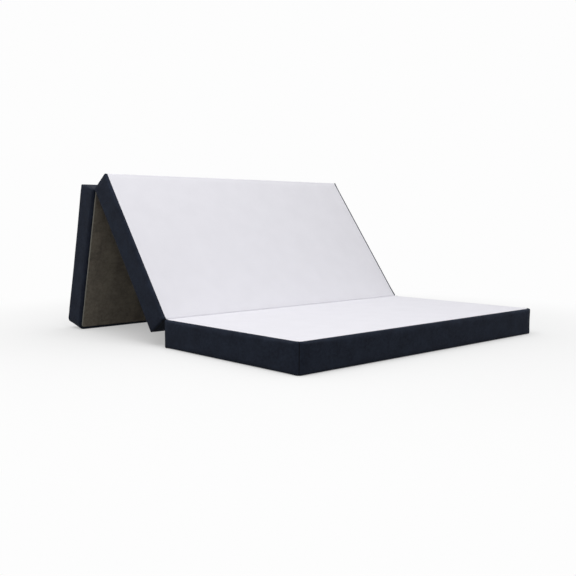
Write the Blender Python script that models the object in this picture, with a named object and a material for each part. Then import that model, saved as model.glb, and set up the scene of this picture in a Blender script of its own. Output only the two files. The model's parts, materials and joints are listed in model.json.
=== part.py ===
"""A tri-fold foam mattress, stood half open: one panel flat, the other two as a leaning back.

Metres, +Z up, +Y from the front edge to the back. The origin is at the middle of the
underside of the whole object as it stands. Each panel is built flat, base down, in its
own frame (X across, Y along the panel, Z from base to top) and hung on the empty of its
hinge line.
"""
import math

import bmesh
import bpy

# Driving sizes of the mattress
MATTRESS_WIDTH = 1.230
FRONT_LENGTH = 0.635
MIDDLE_LENGTH = 0.615
END_LENGTH = 0.555
PANEL_THICKNESS = 0.096
LEAN_DEGREES = 54.0

# Cover cloth, seams and edges
CLOTH_THICKNESS = 0.002
EDGE_RADIUS = 0.007
CORNER_RADIUS = 0.022
TOP_CROWN = 0.0015
CROWN_REACH = 0.120
FIT_GAP = 0.0003

# Foam layers
COMFORT_FOAM_THICKNESS = 0.036
FOAM_EASE = 0.0005

# Sewn hinges: flaps on the panel ends that meet at the fold line, just above the faces
HINGE_FACE_EASE = 0.0004
FLAP_HEIGHT = 0.028
FLAP_THICKNESS = 0.001
FOLD_CLEAR = 0.00015

# Zip in each panel's right border
ZIP_END_MARGIN = 0.070
ZIP_TAPE_HEIGHT = 0.026
ZIP_TAPE_THICKNESS = 0.001
ZIP_COIL_HEIGHT = 0.006
ZIP_COIL_THICKNESS = 0.0014
SLIDER_LENGTH = 0.012
SLIDER_HEIGHT = 0.010
SLIDER_THICKNESS = 0.002
SLIDER_EDGE = 0.0006
PULL_LENGTH = 0.028
PULL_HEIGHT = 0.007
PULL_THICKNESS = 0.0012

# Counts of facets
CORNER_STEPS = 3
EDGE_STEPS = 4
CROWN_STEPS = 4

# Places worked out from the sizes above
HALF_WIDTH = MATTRESS_WIDTH / 2
HINGE_END_REACH = FIT_GAP + FLAP_THICKNESS + FOLD_CLEAR
ZIP_PROUD = (FIT_GAP + ZIP_TAPE_THICKNESS + FIT_GAP + ZIP_COIL_THICKNESS
             + FIT_GAP + SLIDER_THICKNESS + FIT_GAP + PULL_THICKNESS)
MIDDLE_X = -ZIP_PROUD / 2
TOP_EASE = TOP_CROWN + HINGE_FACE_EASE
LEAN = math.radians(LEAN_DEGREES)
FOLD_SPAN = MIDDLE_LENGTH + HINGE_END_REACH + HINGE_END_REACH
FOLD_DEPTH = TOP_EASE + PANEL_THICKNESS + HINGE_FACE_EASE


def fold_places():
    """The two fold lines, as (y, z) from the front panel's front lower edge, and the end panel's turn."""
    first = (FRONT_LENGTH + HINGE_END_REACH, PANEL_THICKNESS + TOP_EASE)
    second = (first[0] + FOLD_SPAN * math.cos(LEAN) + FOLD_DEPTH * math.sin(LEAN),
              first[1] + FOLD_SPAN * math.sin(LEAN) - FOLD_DEPTH * math.cos(LEAN))
    # The end panel hangs from the second fold and stands on its rounded lower base edge
    along = HINGE_END_REACH + END_LENGTH - EDGE_RADIUS
    across = HINGE_FACE_EASE + EDGE_RADIUS
    drop = min(second[1] - EDGE_RADIUS, math.hypot(along, across))
    tilt = math.acos(drop / math.hypot(along, across)) - math.atan2(across, along)
    return first, second, tilt - math.pi / 2


FIRST_FOLD, SECOND_FOLD, END_TURN = fold_places()
BACK_REACH = (SECOND_FOLD[0]
              + (HINGE_END_REACH + END_LENGTH - EDGE_RADIUS) * math.cos(END_TURN)
              - (HINGE_FACE_EASE + PANEL_THICKNESS - EDGE_RADIUS) * math.sin(END_TURN) + EDGE_RADIUS)
FRONT_Y = -BACK_REACH / 2

# Finishes: colour, roughness, metallic
FINISHES = {
    "white_knit": ((0.80, 0.80, 0.83, 1.0), 0.85, 0.0),
    "navy_weave": ((0.018, 0.023, 0.036, 1.0), 0.80, 0.0),
    "brown_weave": ((0.062, 0.052, 0.042, 1.0), 0.85, 0.0),
    "pale_foam": ((0.80, 0.76, 0.62, 1.0), 0.95, 0.0),
    "blue_foam": ((0.45, 0.62, 0.74, 1.0), 0.95, 0.0),
    "black_tape": ((0.012, 0.014, 0.020, 1.0), 0.75, 0.0),
    "black_nylon": ((0.010, 0.010, 0.012, 1.0), 0.45, 0.0),
    "dark_metal": ((0.10, 0.10, 0.11, 1.0), 0.35, 1.0),
}


def clear_scene():
    """Remove whatever the opened file holds."""
    for held in list(bpy.data.objects):
        bpy.data.objects.remove(held, do_unlink=True)


def finish_material(node, finish):
    """A new Principled material for one node."""
    colour, roughness, metallic = FINISHES[finish]
    made = bpy.data.materials.new(f"{node}_{finish}")
    made.use_nodes = True
    shader = made.node_tree.nodes["Principled BSDF"]
    shader.inputs["Base Color"].default_value = colour
    shader.inputs["Roughness"].default_value = roughness
    shader.inputs["Metallic"].default_value = metallic
    made.diffuse_color = colour
    return made


def add_node(node, shape, finish, frame, offset):
    """Turn a bmesh into a named object, hung on a panel's empty."""
    bmesh.ops.recalc_face_normals(shape, faces=shape.faces)
    mesh = bpy.data.meshes.new(node)
    shape.to_mesh(mesh)
    shape.free()
    mesh.shade_smooth()
    mesh.set_sharp_from_angle(angle=math.radians(30))
    made = bpy.data.objects.new(node, mesh)
    bpy.context.collection.objects.link(made)
    made.data.materials.append(finish_material(node, finish))
    made.parent = frame
    made.location = offset
    return made


def add_frame(name, place, turn):
    """An empty on a panel's fold line, turned with the panel."""
    made = bpy.data.objects.new(name, None)
    bpy.context.collection.objects.link(made)
    made.location = place
    made.rotation_euler = (turn, 0, 0)
    return made


def outline(side, low, high, free_end, length):
    """A panel's outline drawn in by side, low and high, with round corners at its free end.

    free_end is "low", "high" or None. Points run anticlockwise seen from above.
    """
    half = HALF_WIDTH - side
    bottom, top = low, length - high
    points = []
    for sign_x, sign_y, first in ((1, -1, -90), (1, 1, 0), (-1, 1, 90), (-1, -1, 180)):
        end_y = bottom if sign_y < 0 else top
        is_free = free_end == ("low" if sign_y < 0 else "high")
        if not is_free:
            points.append((sign_x * half, end_y))
            continue
        radius = CORNER_RADIUS - side
        for step in range(2 * CORNER_STEPS + 1):
            angle = math.radians(first + 90 * step / (2 * CORNER_STEPS))
            points.append((sign_x * (half - radius) + radius * math.cos(angle),
                           end_y - sign_y * radius + radius * math.sin(angle)))
    return points


def loft(rings):
    """A closed solid through rings of equal point counts, capped at both ends."""
    shape = bmesh.new()
    rows = [[shape.verts.new(point) for point in ring] for ring in rings]
    for low, high in zip(rows, rows[1:]):
        for index in range(len(low)):
            after = (index + 1) % len(low)
            shape.faces.new((low[index], low[after], high[after], high[index]))
    shape.faces.new(reversed(rows[0]))
    shape.faces.new(rows[-1])
    return shape


def block(low, high, edge=0):
    """A box between two corners, with its edges rounded when edge is given."""
    shape = bmesh.new()
    bmesh.ops.create_cube(shape, size=1)
    for vert in shape.verts:
        for axis in range(3):
            vert.co[axis] = low[axis] if vert.co[axis] < 0 else high[axis]
    if edge:
        bmesh.ops.bevel(shape, geom=list(shape.edges), offset=edge, segments=2, profile=0.5,
                        affect="EDGES")
    return shape


def level(points, height):
    """An outline's points at one height."""
    return [(x, y, height) for x, y in points]


def crown_rings(side, low, high, free_end, length, height):
    """Rings from an edge inwards that rise to the crown over a flat panel face."""
    rings = []
    for step in range(CROWN_STEPS + 1):
        share = step / CROWN_STEPS
        drawn = CROWN_REACH * share * share
        rise = TOP_CROWN * (1 - (1 - share * share) ** 2)
        rings.append(level(pulled_outline(side, low, high, free_end, length, drawn), height + rise))
    return rings


def pulled_outline(side, low, high, free_end, length, drawn):
    """An outline moved inwards all round by one amount, its corners kept as they are."""
    points = []
    middle_y = length / 2
    for x, y in outline(side, low, high, free_end, length):
        points.append((x - math.copysign(drawn, x), y - math.copysign(drawn, y - middle_y)))
    return points


def end_insets(free_end, free, hinged):
    """The insets of the low and the high end: one at a free end, the other at a hinge."""
    return (free if free_end == "low" else hinged, free if free_end == "high" else hinged)


def top_cover(free_end, length):
    """The knitted sleeping face: a thin crowned sheet between the borders."""
    side = EDGE_RADIUS + FIT_GAP
    low, high = end_insets(free_end, side, 0)
    upper = crown_rings(side, low, high, free_end, length, PANEL_THICKNESS)
    under = crown_rings(side, low, high, free_end, length, PANEL_THICKNESS - CLOTH_THICKNESS)
    return loft(list(reversed(under)) + upper)


def base_cover(free_end, length):
    """The woven underside: a thin flat sheet between the borders."""
    side = EDGE_RADIUS + FIT_GAP
    low, high = end_insets(free_end, side, 0)
    points = outline(side, low, high, free_end, length)
    return loft([level(points, 0), level(points, CLOTH_THICKNESS)])


def foam_edge(rising):
    """Insets and heights of a foam's rounded outer edge inside the border, from the wall inwards."""
    wall = CLOTH_THICKNESS + FOAM_EASE
    radius = EDGE_RADIUS - wall
    pairs = []
    for step in range(EDGE_STEPS + 1):
        angle = math.radians(90 * step / EDGE_STEPS)
        inset = wall + radius * (1 - math.cos(angle))
        height = wall + radius * (1 - math.sin(angle))
        pairs.append((inset, PANEL_THICKNESS - height if rising else height))
    return pairs


def foam_ring(inset, height, free_end, length):
    """One ring of a foam block."""
    end_wall = CLOTH_THICKNESS + FOAM_EASE
    low, high = end_insets(free_end, inset, end_wall)
    return level(outline(inset, low, high, free_end, length), height)


def support_foam(free_end, length):
    """The firm lower foam block."""
    split = PANEL_THICKNESS - COMFORT_FOAM_THICKNESS
    rings = [foam_ring(inset, height, free_end, length) for inset, height in reversed(foam_edge(False))]
    rings.append(foam_ring(CLOTH_THICKNESS + FOAM_EASE, split - FIT_GAP, free_end, length))
    return loft(rings)


def comfort_foam(free_end, length):
    """The soft upper foam layer, crowned as the cover over it."""
    split = PANEL_THICKNESS - COMFORT_FOAM_THICKNESS
    rings = [foam_ring(CLOTH_THICKNESS + FOAM_EASE, split, free_end, length)]
    rings += [foam_ring(inset, height, free_end, length) for inset, height in foam_edge(True)]
    side = EDGE_RADIUS
    low, high = end_insets(free_end, side, CLOTH_THICKNESS + FOAM_EASE)
    rings += crown_rings(side, low, high, free_end, length,
                         PANEL_THICKNESS - CLOTH_THICKNESS - FOAM_EASE)[1:]
    return loft(rings)


def edge_arc(radius):
    """The upper rounded edge at one radius, as (inset, drop from the face), from the face to the side."""
    arc = []
    for step in range(EDGE_STEPS + 1):
        angle = math.radians(90 * step / EDGE_STEPS)
        arc.append((EDGE_RADIUS - radius * math.sin(angle), EDGE_RADIUS - radius * math.cos(angle)))
    return arc


def border_profile():
    """The C-shaped section of a border strip, as (inset, height) points round its outline."""
    outer = edge_arc(EDGE_RADIUS)
    inner = edge_arc(EDGE_RADIUS - CLOTH_THICKNESS)
    points = [(inset, PANEL_THICKNESS - drop) for inset, drop in outer]
    points += [(inset, drop) for inset, drop in reversed(outer)]
    points += [(inset, drop) for inset, drop in inner]
    points += [(inset, PANEL_THICKNESS - drop) for inset, drop in reversed(inner)]
    return points


def corner_station(inset, angle, sign_x, end_y, sign_y):
    """A point on the round corner of a panel's free end, inset from its outer face."""
    radius = CORNER_RADIUS - inset
    centre_x = sign_x * (HALF_WIDTH - CORNER_RADIUS)
    centre_y = end_y - sign_y * CORNER_RADIUS
    return (centre_x + sign_x * radius * math.cos(angle), centre_y + sign_y * radius * math.sin(angle))


def seam_angles(start, stop):
    """Angles of a border strip's stations round half a corner, clear of the corner seam."""
    return [start + (stop - start) * step / CORNER_STEPS for step in range(CORNER_STEPS + 1)]


SEAM_CLEAR = FIT_GAP / (CORNER_RADIUS - EDGE_RADIUS)
SEAM_ANGLE = math.pi / 4


def side_border(sign_x, free_end, length):
    """The left or right border: a C-shaped strip, square at a hinge and curved to a corner seam."""
    profile = border_profile()
    rings = []
    ends = [(-1, 0), (1, length)]
    for sign_y, end_y in ends:
        if free_end == ("low" if sign_y < 0 else "high"):
            angles = seam_angles(0, SEAM_ANGLE - SEAM_CLEAR / 2)
            if sign_y < 0:
                angles.reverse()
            for angle in angles:
                ring = []
                for inset, height in profile:
                    x, y = corner_station(inset, angle, sign_x, end_y, sign_y)
                    ring.append((x, y, height))
                rings.append(ring)
        else:
            rings.append([(sign_x * (HALF_WIDTH - inset), end_y, height) for inset, height in profile])
    return loft(rings)


def free_border(free_end, length):
    """The border across a panel's free end, curved to the corner seams at both ends."""
    profile = border_profile()
    sign_y, end_y = (-1, 0) if free_end == "low" else (1, length)
    rings = []
    for sign_x in (-1, 1):
        angles = seam_angles(SEAM_ANGLE + SEAM_CLEAR / 2, math.pi / 2)
        if sign_x > 0:
            angles.reverse()
        for angle in angles:
            ring = []
            for inset, height in profile:
                x, y = corner_station(inset, angle, sign_x, end_y, sign_y)
                ring.append((x, y, height))
            rings.append(ring)
    return loft(rings)


def hinge_border(at_high, length):
    """The plain border across a hinged end, between the side borders and under the covers."""
    half = HALF_WIDTH - CLOTH_THICKNESS - FIT_GAP
    clear = CLOTH_THICKNESS + FIT_GAP
    outer = length if at_high else 0
    inner = outer - CLOTH_THICKNESS if at_high else CLOTH_THICKNESS
    corner = EDGE_RADIUS
    points = [(-half, corner), (-half, PANEL_THICKNESS - corner)]
    points += [(-HALF_WIDTH + corner, PANEL_THICKNESS - clear)]
    points += [(HALF_WIDTH - corner, PANEL_THICKNESS - clear)]
    points += [(half, PANEL_THICKNESS - corner), (half, corner)]
    points += [(HALF_WIDTH - corner, clear), (-HALF_WIDTH + corner, clear)]
    rings = [[(x, y, z) for x, z in points] for y in (min(outer, inner), max(outer, inner))]
    return loft(rings)


def zip_pieces(panel, frame, offset, length):
    """Tape, coil, slider and pull of the zip on a panel's right border."""
    middle_z = PANEL_THICKNESS / 2
    start, stop = ZIP_END_MARGIN, length - ZIP_END_MARGIN
    tape = HALF_WIDTH + FIT_GAP
    coil = tape + ZIP_TAPE_THICKNESS + FIT_GAP
    slider = coil + ZIP_COIL_THICKNESS + FIT_GAP
    pull = slider + SLIDER_THICKNESS + FIT_GAP
    half_tape, half_coil = ZIP_TAPE_HEIGHT / 2, ZIP_COIL_HEIGHT / 2
    half_slider, half_pull = SLIDER_HEIGHT / 2, PULL_HEIGHT / 2
    add_node(f"{panel}_zip_tape",
             block((tape, start, middle_z - half_tape),
                   (tape + ZIP_TAPE_THICKNESS, stop, middle_z + half_tape)),
             "black_tape", frame, offset)
    add_node(f"{panel}_zip_coil",
             block((coil, start, middle_z - half_coil),
                   (coil + ZIP_COIL_THICKNESS, stop, middle_z + half_coil)),
             "black_nylon", frame, offset)
    add_node(f"{panel}_zip_slider",
             block((slider, start, middle_z - half_slider),
                   (slider + SLIDER_THICKNESS, start + SLIDER_LENGTH, middle_z + half_slider), SLIDER_EDGE),
             "dark_metal", frame, offset)
    add_node(f"{panel}_zip_pull",
             block((pull, start, middle_z - half_pull),
                   (pull + PULL_THICKNESS, start + PULL_LENGTH, middle_z + half_pull)),
             "dark_metal", frame, offset)


def flap(y_low, z_low):
    """A sewn hinge flap: a flat strip across the panel's end face."""
    half = HALF_WIDTH - EDGE_RADIUS
    return block((-half, y_low, z_low), (half, y_low + FLAP_THICKNESS, z_low + FLAP_HEIGHT))


def build_panel(panel, frame, offset, length, free_end, end_names):
    """All the pieces of one panel."""
    add_node(f"{panel}_support_foam", support_foam(free_end, length), "pale_foam", frame, offset)
    add_node(f"{panel}_comfort_foam", comfort_foam(free_end, length), "blue_foam", frame, offset)
    add_node(f"{panel}_top_cover", top_cover(free_end, length), "white_knit", frame, offset)
    add_node(f"{panel}_base_cover", base_cover(free_end, length), "brown_weave", frame, offset)
    add_node(f"{panel}_left_border", side_border(-1, free_end, length), "navy_weave", frame, offset)
    add_node(f"{panel}_right_border", side_border(1, free_end, length), "navy_weave", frame, offset)
    for at_high, name in enumerate(end_names):
        is_free = free_end == ("high" if at_high else "low")
        shape = free_border(free_end, length) if is_free else hinge_border(bool(at_high), length)
        add_node(f"{panel}_{name}_border", shape, "navy_weave", frame, offset)
    zip_pieces(panel, frame, offset, length)


def build_mattress():
    """The three panels and the flaps of their two sewn hinges."""
    front = add_frame("front_panel_frame", (MIDDLE_X, FRONT_Y, 0), 0)
    build_panel("front", front, (0, 0, 0), FRONT_LENGTH, "low", ("front", "rear"))

    middle = add_frame("first_fold", (MIDDLE_X, FRONT_Y + FIRST_FOLD[0], FIRST_FOLD[1]), LEAN)
    middle_offset = (0, HINGE_END_REACH, -TOP_EASE - PANEL_THICKNESS)
    build_panel("middle", middle, middle_offset, MIDDLE_LENGTH, None, ("lower", "upper"))

    end = add_frame("second_fold", (MIDDLE_X, FRONT_Y + SECOND_FOLD[0], SECOND_FOLD[1]), END_TURN)
    build_panel("end", end, (0, HINGE_END_REACH, HINGE_FACE_EASE), END_LENGTH, "high",
                ("upper", "lower"))

    first_low = PANEL_THICKNESS + TOP_EASE - FOLD_CLEAR - FLAP_HEIGHT
    add_node("front_hinge_flap", flap(FRONT_LENGTH + FIT_GAP, first_low), "white_knit", front, (0, 0, 0))
    near = -FIT_GAP - FLAP_THICKNESS
    add_node("middle_lower_hinge_flap", flap(near, first_low), "white_knit", middle, middle_offset)
    second_low = FOLD_CLEAR - HINGE_FACE_EASE
    add_node("middle_upper_hinge_flap", flap(MIDDLE_LENGTH + FIT_GAP, second_low), "navy_weave",
             middle, middle_offset)
    add_node("end_hinge_flap", flap(near, second_low), "navy_weave", end,
             (0, HINGE_END_REACH, HINGE_FACE_EASE))


clear_scene()
build_mattress()
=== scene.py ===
"""A tri-fold foam mattress: its sewn covers, cloth hinges, zips and foam, on a white studio floor.

Metres, +Z up, +Y from the front edge to the back, +X to the zip side. Every cloth piece is drawn
on its panel laid flat (X across, Y along, Z from base to top) and then put in the panel's place.
"""
import json
import math
from contextlib import contextmanager

import bmesh
import bpy
import numpy as np
from bpy.props import FloatProperty, FloatVectorProperty, IntProperty, PointerProperty, StringProperty
from bpy.types import Operator, Panel, PropertyGroup
from mathutils import Matrix, Vector, noise


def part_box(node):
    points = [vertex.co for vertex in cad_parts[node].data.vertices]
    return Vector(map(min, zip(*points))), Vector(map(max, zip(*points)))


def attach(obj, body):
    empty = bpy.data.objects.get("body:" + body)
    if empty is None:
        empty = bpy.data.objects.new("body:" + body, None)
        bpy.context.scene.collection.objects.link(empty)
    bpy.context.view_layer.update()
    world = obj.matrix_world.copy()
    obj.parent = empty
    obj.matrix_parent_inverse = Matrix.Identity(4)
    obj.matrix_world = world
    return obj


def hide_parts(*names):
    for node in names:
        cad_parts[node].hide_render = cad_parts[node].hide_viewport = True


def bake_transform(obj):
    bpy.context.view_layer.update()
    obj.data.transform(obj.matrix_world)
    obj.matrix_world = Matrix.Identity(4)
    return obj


bl_info = {
    "name": "Folding mattress",
    "version": (1, 0, 0),
    "blender": (4, 5, 0),
    "location": "3D View > Sidebar > Mattress",
    "description": "Covers, cloth hinges, zips and foam of a tri-fold mattress, with a studio stage",
    "category": "Add Mesh",
}

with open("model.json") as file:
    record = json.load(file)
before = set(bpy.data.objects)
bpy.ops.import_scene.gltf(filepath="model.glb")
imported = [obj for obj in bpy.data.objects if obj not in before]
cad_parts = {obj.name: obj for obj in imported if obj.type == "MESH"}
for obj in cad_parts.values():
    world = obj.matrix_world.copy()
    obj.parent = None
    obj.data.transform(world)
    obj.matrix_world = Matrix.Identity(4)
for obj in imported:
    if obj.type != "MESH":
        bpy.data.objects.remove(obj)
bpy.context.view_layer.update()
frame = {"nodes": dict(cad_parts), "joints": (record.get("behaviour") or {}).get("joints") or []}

# The flat panel's own sizes and place
LEFT_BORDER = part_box("front_left_border")
RIGHT_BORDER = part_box("front_right_border")
MATTRESS_WIDTH = RIGHT_BORDER[1].x - LEFT_BORDER[0].x
PANEL_THICKNESS = LEFT_BORDER[1].z - LEFT_BORDER[0].z
MIDDLE_X = (RIGHT_BORDER[1].x + LEFT_BORDER[0].x) / 2
FRONT_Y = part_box("front_front_border")[0].y
HALF_WIDTH = MATTRESS_WIDTH / 2

# The two folds: their lines, the middle panel's lean and the end panel's turn
FOLDS = {joint["name"]: joint for joint in frame["joints"]}
FIRST_FOLD = Vector((MIDDLE_X, *FOLDS["first_fold"]["pos_m"][1:]))
SECOND_FOLD = Vector((MIDDLE_X, *FOLDS["second_fold"]["pos_m"][1:]))
LEAN = -math.radians(FOLDS["first_fold"]["range_deg"][0])
END_TURN = LEAN - math.pi + math.radians(0.005 - FOLDS["second_fold"]["range_deg"][0])
HINGE_REACH = FIRST_FOLD.y - LEFT_BORDER[1].y
TOP_EASE = FIRST_FOLD.z - PANEL_THICKNESS
BASE_EASE = 0.0004

# Where each panel stands: from its own flat frame to its place
PLACES = {
    "front": Matrix.Translation((MIDDLE_X, FRONT_Y, 0)),
    "middle": (Matrix.Translation(FIRST_FOLD) @ Matrix.Rotation(LEAN, 4, "X")
               @ Matrix.Translation((0, HINGE_REACH, -TOP_EASE - PANEL_THICKNESS))),
    "end": (Matrix.Translation(SECOND_FOLD) @ Matrix.Rotation(END_TURN, 4, "X")
            @ Matrix.Translation((0, HINGE_REACH, BASE_EASE))),
}
# The names of each panel's low and high end borders, and which of the two ends is free
PANEL_ENDS = {"front": ("front", "rear"), "middle": ("lower", "upper"), "end": ("upper", "lower")}
FREE_END = {"front": "low", "middle": None, "end": "high"}
# How long each panel is, measured to its high end's border in its own flat frame
LENGTHS = {panel: round(max((place.inverted() @ vert.co).y for vert in
                            frame["nodes"][f"{panel}_{PANEL_ENDS[panel][1]}_border"].data.vertices), 4)
           for panel, place in PLACES.items()}

# Depths of the cover's drawing lines from an edge, and their heights from a face
FREE_LINES = (0, 0.00232, 0.00410, 0.00561, 0.0073, 0.0110, 0.0140, 0.0175, 0.0220, 0.0280, 0.0360, 0.0460)
HINGE_LINES = (0, 0.0009, 0.0016, 0.0022, 0.0028, 0.0050, 0.0073, 0.0100, 0.0150, 0.0220, 0.0300, 0.0460)
HEIGHT_LINES = (0, 0.00232, 0.00410, 0.00561, 0.0073, 0.0115, 0.0190, 0.0290, 0.0395)
HINGE_WRAP = 0.00232
# How close counts as on a face of the flat box, and how straight an edge or normal has to follow an axis
ON_FACE = 1e-6
ALONG = 0.9
# How near a hinged end the cover stays plain, where the foam's corners are square
SQUARE_END = 0.008

# The simulation that lets air press the cover out: light cloth that hardly stretches
SWELL_FRAMES = 20
SWELL_SETTINGS = {
    "quality": 4, "mass": 0.3, "tension_stiffness": 15, "compression_stiffness": 15, "shear_stiffness": 8,
    "bending_stiffness": 0.8, "use_pressure": True, "uniform_pressure_force": 4}
# The deepest that the simulation may draw the cover in
DEEPEST_SINK = 0.001

# A cloth hinge: how far it stands off a panel's end, how deep its turn lies, its thickness and its columns
END_REACH = 0.0008
TURN_DEPTH = 0.0005
HINGE_THICKNESS = 0.0008
HINGE_COLUMNS = 62

# A zip: how far its tape runs past the coil, and its stitches' size, spacing and place on the tape
TAPE_TAIL = 0.006
STITCH_SIZE = (0.0005, 0.0028, 0.0006)
STITCH_PITCH = 0.0035
STITCH_MARGIN = 0.003
STITCH_HEIGHT = 0.0088

# The white behind the object, as the camera sees it, and the plain light from all round
BACKGROUND = "#fdfdfd"
WHITE_LIGHT = (1, 1, 1, 1)


def linear(code):
    """An sRGB hex colour as linear red, green, blue and alpha."""
    parts = [int(code[start:start + 2], 16) / 255 for start in (1, 3, 5)]
    parts = [p / 12.92 if p <= 0.04045 else ((p + 0.055) / 1.055) ** 2.4 for p in parts]
    return (*parts, 1.0)


def length_setting(name, description, default, low, high):
    """A setting in metres."""
    return FloatProperty(name=name, description=description, default=default, min=low, max=high,
                         subtype="DISTANCE", unit="LENGTH")


def colour_setting(name, description, code):
    """A colour setting, its default an sRGB hex colour."""
    return FloatVectorProperty(name=name, description=description, default=linear(code), size=4, min=0, max=1,
                               subtype="COLOR")


class MattressSizes(PropertyGroup):
    """Sizes of the sewing and the padding."""
    seam_inset: length_setting(
        "Seam inset", "How far the border cloth rolls over a face before its seam", 0.0110, 0.004, 0.012)
    seam_depth: length_setting(
        "Seam depth", "How deep a seam pulls into the foam", 0.0011, 0, 0.003)
    edge_radius: length_setting(
        "Edge radius", "Rounding of the cover over the foam's long edges", 0.007, 0.003, 0.0072)
    hinge_edge_radius: length_setting(
        "Hinge edge radius", "Rounding of the cover where it is sewn to a hinge", 0.0026, 0.001, 0.007)
    corner_radius: length_setting(
        "Corner radius", "Rounding of a free end's upright corners, seen from above", 0.022, 0.010, 0.022)
    hinge_corner_radius: length_setting(
        "Hinge corner radius", "Rounding of a hinged end's upright corners", 0.0065, 0.005, 0.010)
    top_crown: length_setting(
        "Top crown", "How far the padding lifts the sleeping face", 0.0014, 0, 0.0018)
    border_swell: length_setting(
        "Border swell", "How far the padding may push a border out", 0.0016, 0, 0.005)
    border_dents: length_setting(
        "Border dents", "Depth of the soft dents in the border cloth", 0.0016, 0, 0.004)
    face_dents: length_setting(
        "Face dents", "Depth of the soft waves in the faces", 0.0003, 0, 0.002)
    cloth_thickness: length_setting(
        "Cloth thickness", "Thickness of the cover cloth", 0.0012, 0.0005, 0.002)
    drawing_step: length_setting(
        "Drawing step", "Distance between the cover's drawing lines", 0.0115, 0.006, 0.03)
    hinge_leg: length_setting(
        "Hinge leg", "How far a cloth hinge reaches down each panel's end", 0.016, 0.010, 0.05)
    hinge_inset: length_setting(
        "Hinge inset", "How far a cloth hinge stops short of the mattress's sides", 0.014, 0.0072, 0.05)
    tooth_pitch: length_setting(
        "Tooth pitch", "Distance between the turns of the zip's coil", 0.002, 0.001, 0.004)


class MattressColours(PropertyGroup):
    """Colours of the cloths, foams and zips."""
    knit: colour_setting("White knit", "The sleeping face's knitted cloth", "#ebeaf0")
    knit_shade: colour_setting("Knit shade", "The knit where its loops shade each other", "#e7e6ec")
    navy: colour_setting("Navy weave", "The border cloth", "#181c27")
    navy_light: colour_setting("Navy light", "The border cloth's paler yarns", "#262d3b")
    brown: colour_setting("Brown weave", "The underside's cloth", "#706860")
    brown_light: colour_setting("Brown light", "The underside's paler yarns", "#938c7e")
    support_foam: colour_setting("Support foam", "The firm lower foam", "#f0e8cc")
    comfort_foam: colour_setting("Comfort foam", "The soft upper foam", "#b9d2e0")
    zip_tape: colour_setting("Zip tape", "The zip's woven tape", "#20242c")
    zip_coil: colour_setting("Zip coil", "The zip's nylon coil", "#1b1c1f")
    zip_metal: colour_setting("Zip metal", "The slider's and pull's coated zinc", "#3a3b3e")
    floor: colour_setting("Floor", "The studio floor", "#f4f4f4")
    floor_bounce: colour_setting("Floor bounce", "The studio floor as other surfaces see it", "#6c6c6c")


class StageSettings(PropertyGroup):
    """The camera's place and the studio light."""
    camera_place: FloatVectorProperty(
        name="Camera place", description="Where the camera stands",
        default=(-2.110, -2.143, 0.432), size=3, subtype="XYZ", unit="LENGTH")
    camera_azimuth: FloatProperty(
        name="Camera azimuth", description="How far the view turns from straight back towards +X",
        default=math.radians(40.97), subtype="ANGLE")
    camera_dip: FloatProperty(
        name="Camera dip", description="How far the view looks down",
        default=math.radians(5.10), subtype="ANGLE")
    focal_length: FloatProperty(
        name="Focal length", description="The lens on a 36 mm wide picture",
        default=48.98, min=10, max=200, unit="CAMERA")
    sideways_shift: FloatProperty(
        name="Sideways shift", description="The lens's shift as a share of the picture's width",
        default=0.0747, min=-0.5, max=0.5)
    sky_strength: FloatProperty(
        name="Sky strength", description="Light from all round",
        default=0.55, min=0, max=3)
    overhead_power: IntProperty(
        name="Overhead power", description="Power of the big soft lamp above",
        default=60, min=0, max=2000)
    side_power: IntProperty(
        name="Side power", description="Power of the soft lamp at the front left",
        default=10, min=0, max=2000)


def add_node(tree, kind, inputs=(), **settings):
    """Add one shader node; an input is a number, a colour, an output, or a node for its first output."""
    made = tree.nodes.new(kind)
    for name, value in settings.items():
        setattr(made, name, value)
    for name, value in dict(inputs).items():
        if isinstance(value, bpy.types.Node):
            value = value.outputs[0]
        if isinstance(value, bpy.types.NodeSocket):
            tree.links.new(value, made.inputs[name])
        else:
            made.inputs[name].default_value = value
    return made


def fresh_material(name):
    """A new material with an empty node tree."""
    made = bpy.data.materials.new(name)
    made.use_nodes = True
    made.node_tree.nodes.clear()
    return made, made.node_tree


def finish_surface(tree, height, relief, strength, inputs):
    """A material's last nodes: a bump with its relief in metres, the shader and the output."""
    bump = add_node(tree, "ShaderNodeBump", {"Height": height, "Distance": relief, "Strength": strength})
    shader = add_node(tree, "ShaderNodeBsdfPrincipled", {"Normal": bump, **inputs})
    add_node(tree, "ShaderNodeOutputMaterial", {"Surface": shader})


def finish_cloth(tree, colour, roughness, height, relief, sheen, sheen_tint):
    """A cloth's last nodes: its colour, a bump from its threads, and the glow of its fibre ends."""
    finish_surface(tree, height, relief, 1.0, {
        "Base Color": colour, "Roughness": roughness, "IOR": 1.45, "Specular IOR Level": 0.18,
        "Sheen Weight": sheen, "Sheen Roughness": 0.45, "Sheen Tint": sheen_tint})


def thread_waves(tree, across, along):
    """The cloth's map in metres, and its sine waves of the given thread spacings in metres."""
    cloth = add_node(tree, "ShaderNodeUVMap", uv_map="cloth")
    parts = add_node(tree, "ShaderNodeSeparateXYZ", {0: cloth})
    waves = []
    for axis, spacing in enumerate((across, along)):
        phase = add_node(tree, "ShaderNodeMath", {0: parts.outputs[axis], 1: 2 * math.pi / spacing},
                         operation="MULTIPLY")
        waves.append(add_node(tree, "ShaderNodeMath", {0: phase}, operation="SINE"))
    return cloth, *waves


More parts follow.
